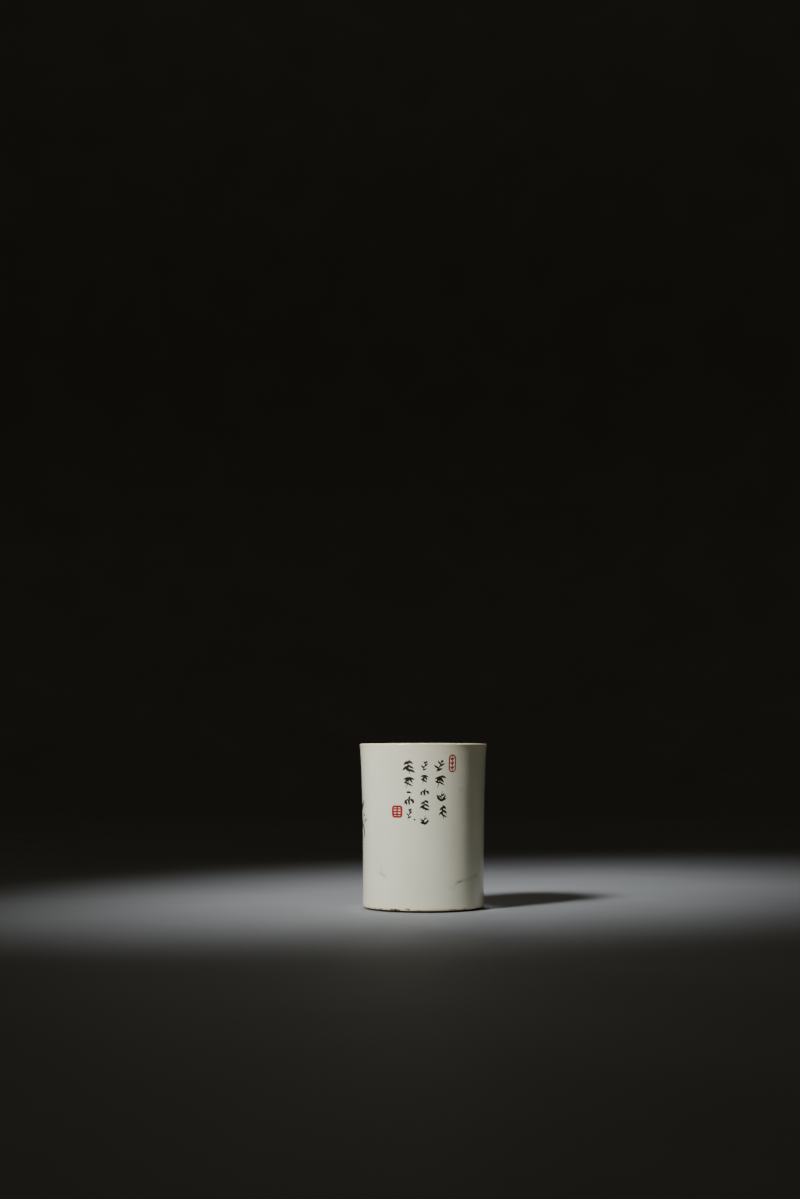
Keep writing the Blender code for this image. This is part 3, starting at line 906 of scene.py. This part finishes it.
def paint_sprig(sprig, kind, size):
    """A thin stem, then its leaves, each with its own pressure and load of ink."""
    scale = Vector(size)
    girth = (size[0] + size[1]) / 2
    plan = SPRIGS[kind]
    stem = [Vector(point) * scale for point in plan["stem"]]
    if stem:
        route = [Vector((*p, girth * w)) for p, w in zip(stem, STEM_WIDTHS)]
        sprig.stroke(smooth_route(route, 10), (0.85, 0.95), INK)
    for i, (share, heading, length) in enumerate(plan["leaves"]):
        base = along_stem(stem, share) if stem else Vector((0, 0))
        turn = math.radians(heading)
        reach = Vector((math.cos(turn), math.sin(turn))) * scale * length
        width = LEAF_WIDTH * girth if stem else DAB_WIDTH * size[1]
        wet = sprig.random.uniform(0.72, 1.2)
        sprig.leaf(
            base,
            math.atan2(reach.y, reach.x),
            reach.length,
            width * sprig.random.uniform(0.72, 1.18),
            (wet, wet * sprig.random.uniform(0.62, 1)),
            INK,
            bow=sprig.random.uniform(-0.1, 0.1),
        )


def along_stem(stem, share):
    """The place on a stem of three points, at a share of the way up it."""
    foot, middle, tip = stem
    if share < 0.5:
        return foot.lerp(middle, 2 * share)
    return middle.lerp(tip, 2 * share - 1)


def rounded_box(width, height, radius, line, steps=7):
    """A closed route round a box with round corners."""
    corners = []
    for quarter, (x, y) in enumerate([(1, 1), (-1, 1), (-1, -1), (1, -1)]):
        for a in spaced(90 * quarter, 90 * quarter + 90, steps):
            turn = math.radians(a)
            cx = x * (width / 2 - radius) + radius * math.cos(turn)
            cy = y * (height / 2 - radius) + radius * math.sin(turn)
            corners.append(Vector((cx, cy, line)))
    route = []
    for i, start in enumerate(corners):
        end = corners[(i + 1) % len(corners)]
        parts = max(1, round((end - start).length / 0.6))
        route += [start.lerp(end, k / parts) for k in range(parts)]
    return [p for i, p in enumerate(route) if (p - route[i - 1]).length > 0.01]


def bar(start, end, line):
    """A short straight stroke with blunt ends."""
    route = []
    for t in spaced(0, 1, 10):
        blunt = min(1, 0.35 + 5 * min(t, 1 - t))
        route.append(Vector((*Vector(start).lerp(Vector(end), t), line * blunt)))
    return route


UPPER_LINE = 1.15
UPPER_CORNER = 2.7
SPRAY_HEIGHTS = (-3.8, -0.4, 3)
LOWER_LINE = 1.8
LOWER_CORNER = 1.4
LATTICE_REACH = 4.1
LATTICE_HEIGHTS = (-2.1, 0, 2.1)


def make_seals(material):
    """Two cartouches in iron red: a tall one with a leaf spray in it, a square one with a lattice."""
    angle, height, size = patch("upper_seal")
    tall = Painting("brushed_upper_seal", 31)
    frame_route = rounded_box(size[0] - 1, size[1] - 1, UPPER_CORNER, UPPER_LINE)
    tall.stroke(frame_route, (0.95, 0.7), RED, closed=True)
    tall.stroke(bar((0, -size[1] / 2 + 0.8), (0, size[1] / 2 - 0.8), 0.9), (1, 0.9), RED)
    for y in SPRAY_HEIGHTS:
        for heading in (35, 145):
            tall.leaf(Vector((0, y)), math.radians(heading), 2.4, 1.4, (1.1, 0.85), RED)
    tall.fit(size)
    tall.lay(angle, height, material, ["upper_seal"])

    angle, height, size = patch("lower_seal")
    square = Painting("brushed_lower_seal", 37)
    frame_route = rounded_box(size[0] - 1.7, size[1] - 1.7, LOWER_CORNER, LOWER_LINE)
    square.stroke(frame_route, (1.05, 0.78), RED, closed=True)
    square.stroke(bar((0, -LATTICE_REACH), (0, LATTICE_REACH), 1.4), (1, 0.8), RED)
    for y in LATTICE_HEIGHTS:
        square.stroke(bar((-3.9, y), (3.9, y), 1.35), (1.1, 0.75), RED)
    square.fit(size)
    square.lay(angle, height, material, ["lower_seal"])


# The brush's route and width along the bough and each limb, in mm from the painting's middle
LIMBS = [
    [(-42, -40, 7), (-33, -24, 6), (-20, -8, 5.4), (-12, 8, 4.4), (2, 20, 3.4), (6, 36, 2), (3, 46, 0.7)],
    [
        (-20, -8, 3.6),
        (-2, -1, 3.2),
        (16, 4, 2.6),
        (34, 9, 2),
        (44, 12.5, 1.8),
        (52, 16, 3.4),
        (57, 20, 1.4),
    ],
    [(16, 4, 2), (30, 3, 1.7), (42, 4, 1.5), (50, 2, 2), (55.5, -3, 3), (56.8, -9, 1.6)],
    [(-33, -24, 3), (-46, -12, 2.4), (-52, 4, 1.6), (-60, 16, 0.6)],
    [(-12, 8, 2.4), (-24, 20, 1.8), (-30, 34, 1.2), (-40, 42, 0.5)],
    [(2, 20, 2), (16, 28, 1.5), (30, 30, 1), (40, 38, 0.5)],
    [(-46, -12, 1.6), (-56, -18, 1.2), (-62, -16, 0.5)],
    [(-2, -1, 1.8), (6, -12, 1.4), (18, -18, 1), (28, -28, 0.5)],
]


def make_branch(material):
    """The bough and limbs in a dry wash, with wetter touches for the bark."""
    angle, height, size = patch("plum_branch")
    branch = Painting("brushed_plum_branch", 43)
    for i, limb in enumerate(LIMBS):
        route = smooth_route([Vector(p) for p in limb], 14)
        branch.stroke(route, (0.5, 0.72) if i == 0 else (0.56, 1.15), WASH, rough=0.16)
    for limb in LIMBS[:2]:
        bough = smooth_route([Vector(p) for p in limb[:5]], 5)
        for here, ahead in zip(bough, bough[1:]):
            along = (ahead - here).xy.normalized()
            side = Vector((-along.y, along.x)) * here.z * branch.random.uniform(-0.34, 0.34)
            heading = math.atan2(along.y, along.x) + branch.random.uniform(-0.4, 0.4)
            length = branch.random.uniform(1.8, 4)
            wet = branch.random.uniform(0.7, 1.2)
            branch.leaf(here.xy + side, heading, length, 0.3 * here.z, (wet, 0.5), INK)
    branch.fit(size)
    branch.lay(angle, height, material, ["plum_branch"])


def make_blossoms(red, ink):
    for node in sorted(n for n in nodes if n.startswith("plum_blossom")):
        angle, height, size = patch(node)
        flower = Painting(f"brushed_{node}", len(node) + size[0])
        turn = flower.random.uniform(0, 6)
        reach = (size[0] + size[1]) / 4
        for k in range(5):
            heading = turn + 2 * math.pi * k / 5
            along = Vector((math.cos(heading), math.sin(heading)))
            route = []
            for t in spaced(0, 1, 12):
                full = math.sin(math.pi * (0.06 + 0.9 * t) ** 0.9) ** 0.6
                place = along * reach * (0.06 + 0.94 * t)
                route.append(Vector((*place, 1.15 * reach * max(0.05, full))))
            wet = flower.random.uniform(1.3, 1.5)
            flower.stroke(route, (wet, 0.9 * wet), ROSE, rough=0.1, edge_tint=PETAL_EDGE)
        for k in range(11):
            heading = turn + 2 * math.pi * k / 11
            along = Vector((math.cos(heading), math.sin(heading)))
            length = reach * flower.random.uniform(0.38, 0.6)
            stamen = [Vector((*(along * length * t), 0.13)) for t in (0.1, 0.4, 0.7, 1)]
            flower.stroke(stamen, (1, 1), PETAL_EDGE)
            flower.dot(along * length, 0.42, (1, 1), PETAL_EDGE)
        flower.dot(Vector((0, 0)), 0.9, (1, 1), PETAL_EDGE)
        flower.lay(angle, height, red, [node])
    for node in sorted(n for n in nodes if n.startswith("plum_bud")):
        angle, height, size = patch(node)
        bud = Painting(f"brushed_{node}", len(node))
        bud.leaf(Vector((0, 0)), 1 + height * 50, 2, 1.5, (1.3, 1.1), INK)
        bud.fit(size)
        bud.lay(angle, height, ink, [node])


# ---------------------------------------------------------------- stage, light and camera

TABLE_GREY = (0.203, 0.219, 0.248)
TABLE_PALE = (0.226, 0.242, 0.271)
ROOM = (0.5, 0.43, 0.28)
ROOM_STRENGTH = 0.13

# Each light: azimuth and elevation in degrees, distance, size, power, colour, spread in degrees and
# the place that it is aimed at
LIGHTS = {
    "key": (-45, 41, 1.5, 0.46, 1.13, (1.0, 0.98, 0.925), 18.5, (0.035, 0.14, 0.03)),
    "top": (184, 86, 0.9, 0.104, 0.0165, (1.0, 0.96, 0.86), 3, (0, 0, 0.065)),
    "fill": (78, 8, 1.6, 0.9, 0.13, (1.0, 0.92, 0.70), 40, (0, 0, 0.065)),
    "back": (186, 32, 1.5, 0.6, 0.04, (1.0, 0.96, 0.90), 28, (0, 0, 0.065)),
}

EYE_DISTANCE = 1.342
EYE_HEIGHT = 0.1152
TILT_UP = 5.58
TURN_LEFT = 0.796

def make_floor():
    """A wide pale table top that curves up all round into a backdrop."""
    profile = [(0.05, 0), (0.5, 0), (2.4, 0)]
    for a in spaced(-90, 0, 10)[1:]:
        turn = math.radians(a)
        profile.append((2.4 + 1.4 * math.cos(turn), 1.4 + 1.4 * math.sin(turn)))
    profile.append((3.9, 3))
    points = [(0, 0, 0)]
    faces = []
    around = 64
    for radius, z in profile:
        for k in range(around):
            points.append(on_wall(radius, 2 * math.pi * k / around, z))
    for i in range(len(profile) - 1):
        for k in range(around):
            here, there = 1 + i * around, 1 + (i + 1) * around
            faces.append((here + k, here + (k + 1) % around, there + (k + 1) % around, there + k))
    for k in range(around):
        faces.append((0, 1 + (k + 1) % around, 1 + k))
    mesh = bpy.data.meshes.new("table_top")
    mesh.from_pydata(points, [], faces)
    mesh.shade_smooth()
    floor = bpy.data.objects.new("table_top", mesh)
    bpy.context.scene.collection.objects.link(floor)
    shade = Shading("pale_table")
    cloud = shade.span(shade.noise(0.15, 3), 0.3, 0.7)
    colour = shade.mix(cloud, TABLE_GREY, TABLE_PALE)
    normal = shade.bump(shade.noise(0.0015, 3), 0.00004)
    mesh.materials.append(shade.finish(colour, 0.7, normal))


def make_light(name, azimuth, elevation, distance, size, power, colour, spread, aim):
    """An area light, placed about the pot's middle. Azimuth runs as angles on the wall do."""
    lamp = bpy.data.lights.new(name, "AREA")
    lamp.shape = "DISK"
    lamp.size = size
    lamp.energy = power
    lamp.color = colour
    lamp.spread = math.radians(spread)
    light = bpy.data.objects.new(name, lamp)
    bpy.context.scene.collection.objects.link(light)
    light.visible_camera = False
    turn, rise = math.radians(azimuth), math.radians(elevation)
    away = Vector((math.sin(turn) * math.cos(rise), -math.cos(turn) * math.cos(rise), math.sin(rise)))
    light.location = Vector((0, 0, HEIGHT / 2)) + away * distance
    light.rotation_euler = (light.location - Vector(aim)).to_track_quat("Z", "Y").to_euler()


def make_lights():
    for name, settings in LIGHTS.items():
        make_light(name, *settings)
    world = bpy.data.worlds.new("dim_room")
    bpy.context.scene.world = world
    world.use_nodes = True
    back = world.node_tree.nodes["Background"]
    back.inputs["Color"].default_value = (*ROOM, 1)
    back.inputs["Strength"].default_value = ROOM_STRENGTH


def make_camera():
    """A 50 mm lens a little above a standing pot's rim line, tilted up so that the pot sits low."""
    data = bpy.data.cameras.new("camera")
    data.lens = 50
    data.sensor_width = 36
    data.clip_start = 0.01
    data.clip_end = 50
    camera = bpy.data.objects.new("camera", data)
    bpy.context.scene.collection.objects.link(camera)
    camera.location = (0, -EYE_DISTANCE, EYE_HEIGHT)
    camera.rotation_euler = (math.radians(90 + TILT_UP), 0, math.radians(TURN_LEFT))
    bpy.context.scene.camera = camera


for item in list(bpy.data.objects):
    if item.type in ("CAMERA", "LIGHT") or item.name == "Cube":
        bpy.data.objects.remove(item)

make_camera()
glaze = glaze_material()
biscuit = biscuit_material()
make_outer_glaze(glaze)
make_inner_glaze(glaze)
make_clay(biscuit)
make_base_glaze(glaze)
for name in ("floor_slab", "luting_coil"):
    nodes[name].data.materials.clear()
    nodes[name].data.materials.append(biscuit)

ink_enamel = enamel_material("ink_enamel", THIN_INK, 0.38)
branch_enamel = enamel_material("branch_enamel", THIN_WASH, 0.42, streak=1.2)
red_enamel = enamel_material("iron_red_enamel", THIN_RED, 0.36)
blossom_enamel = enamel_material("blossom_enamel", THIN_ROSE, 0.34)
make_sprigs(ink_enamel)
make_seals(red_enamel)
make_branch(branch_enamel)
make_blossoms(blossom_enamel, branch_enamel)

make_floor()
make_lights()
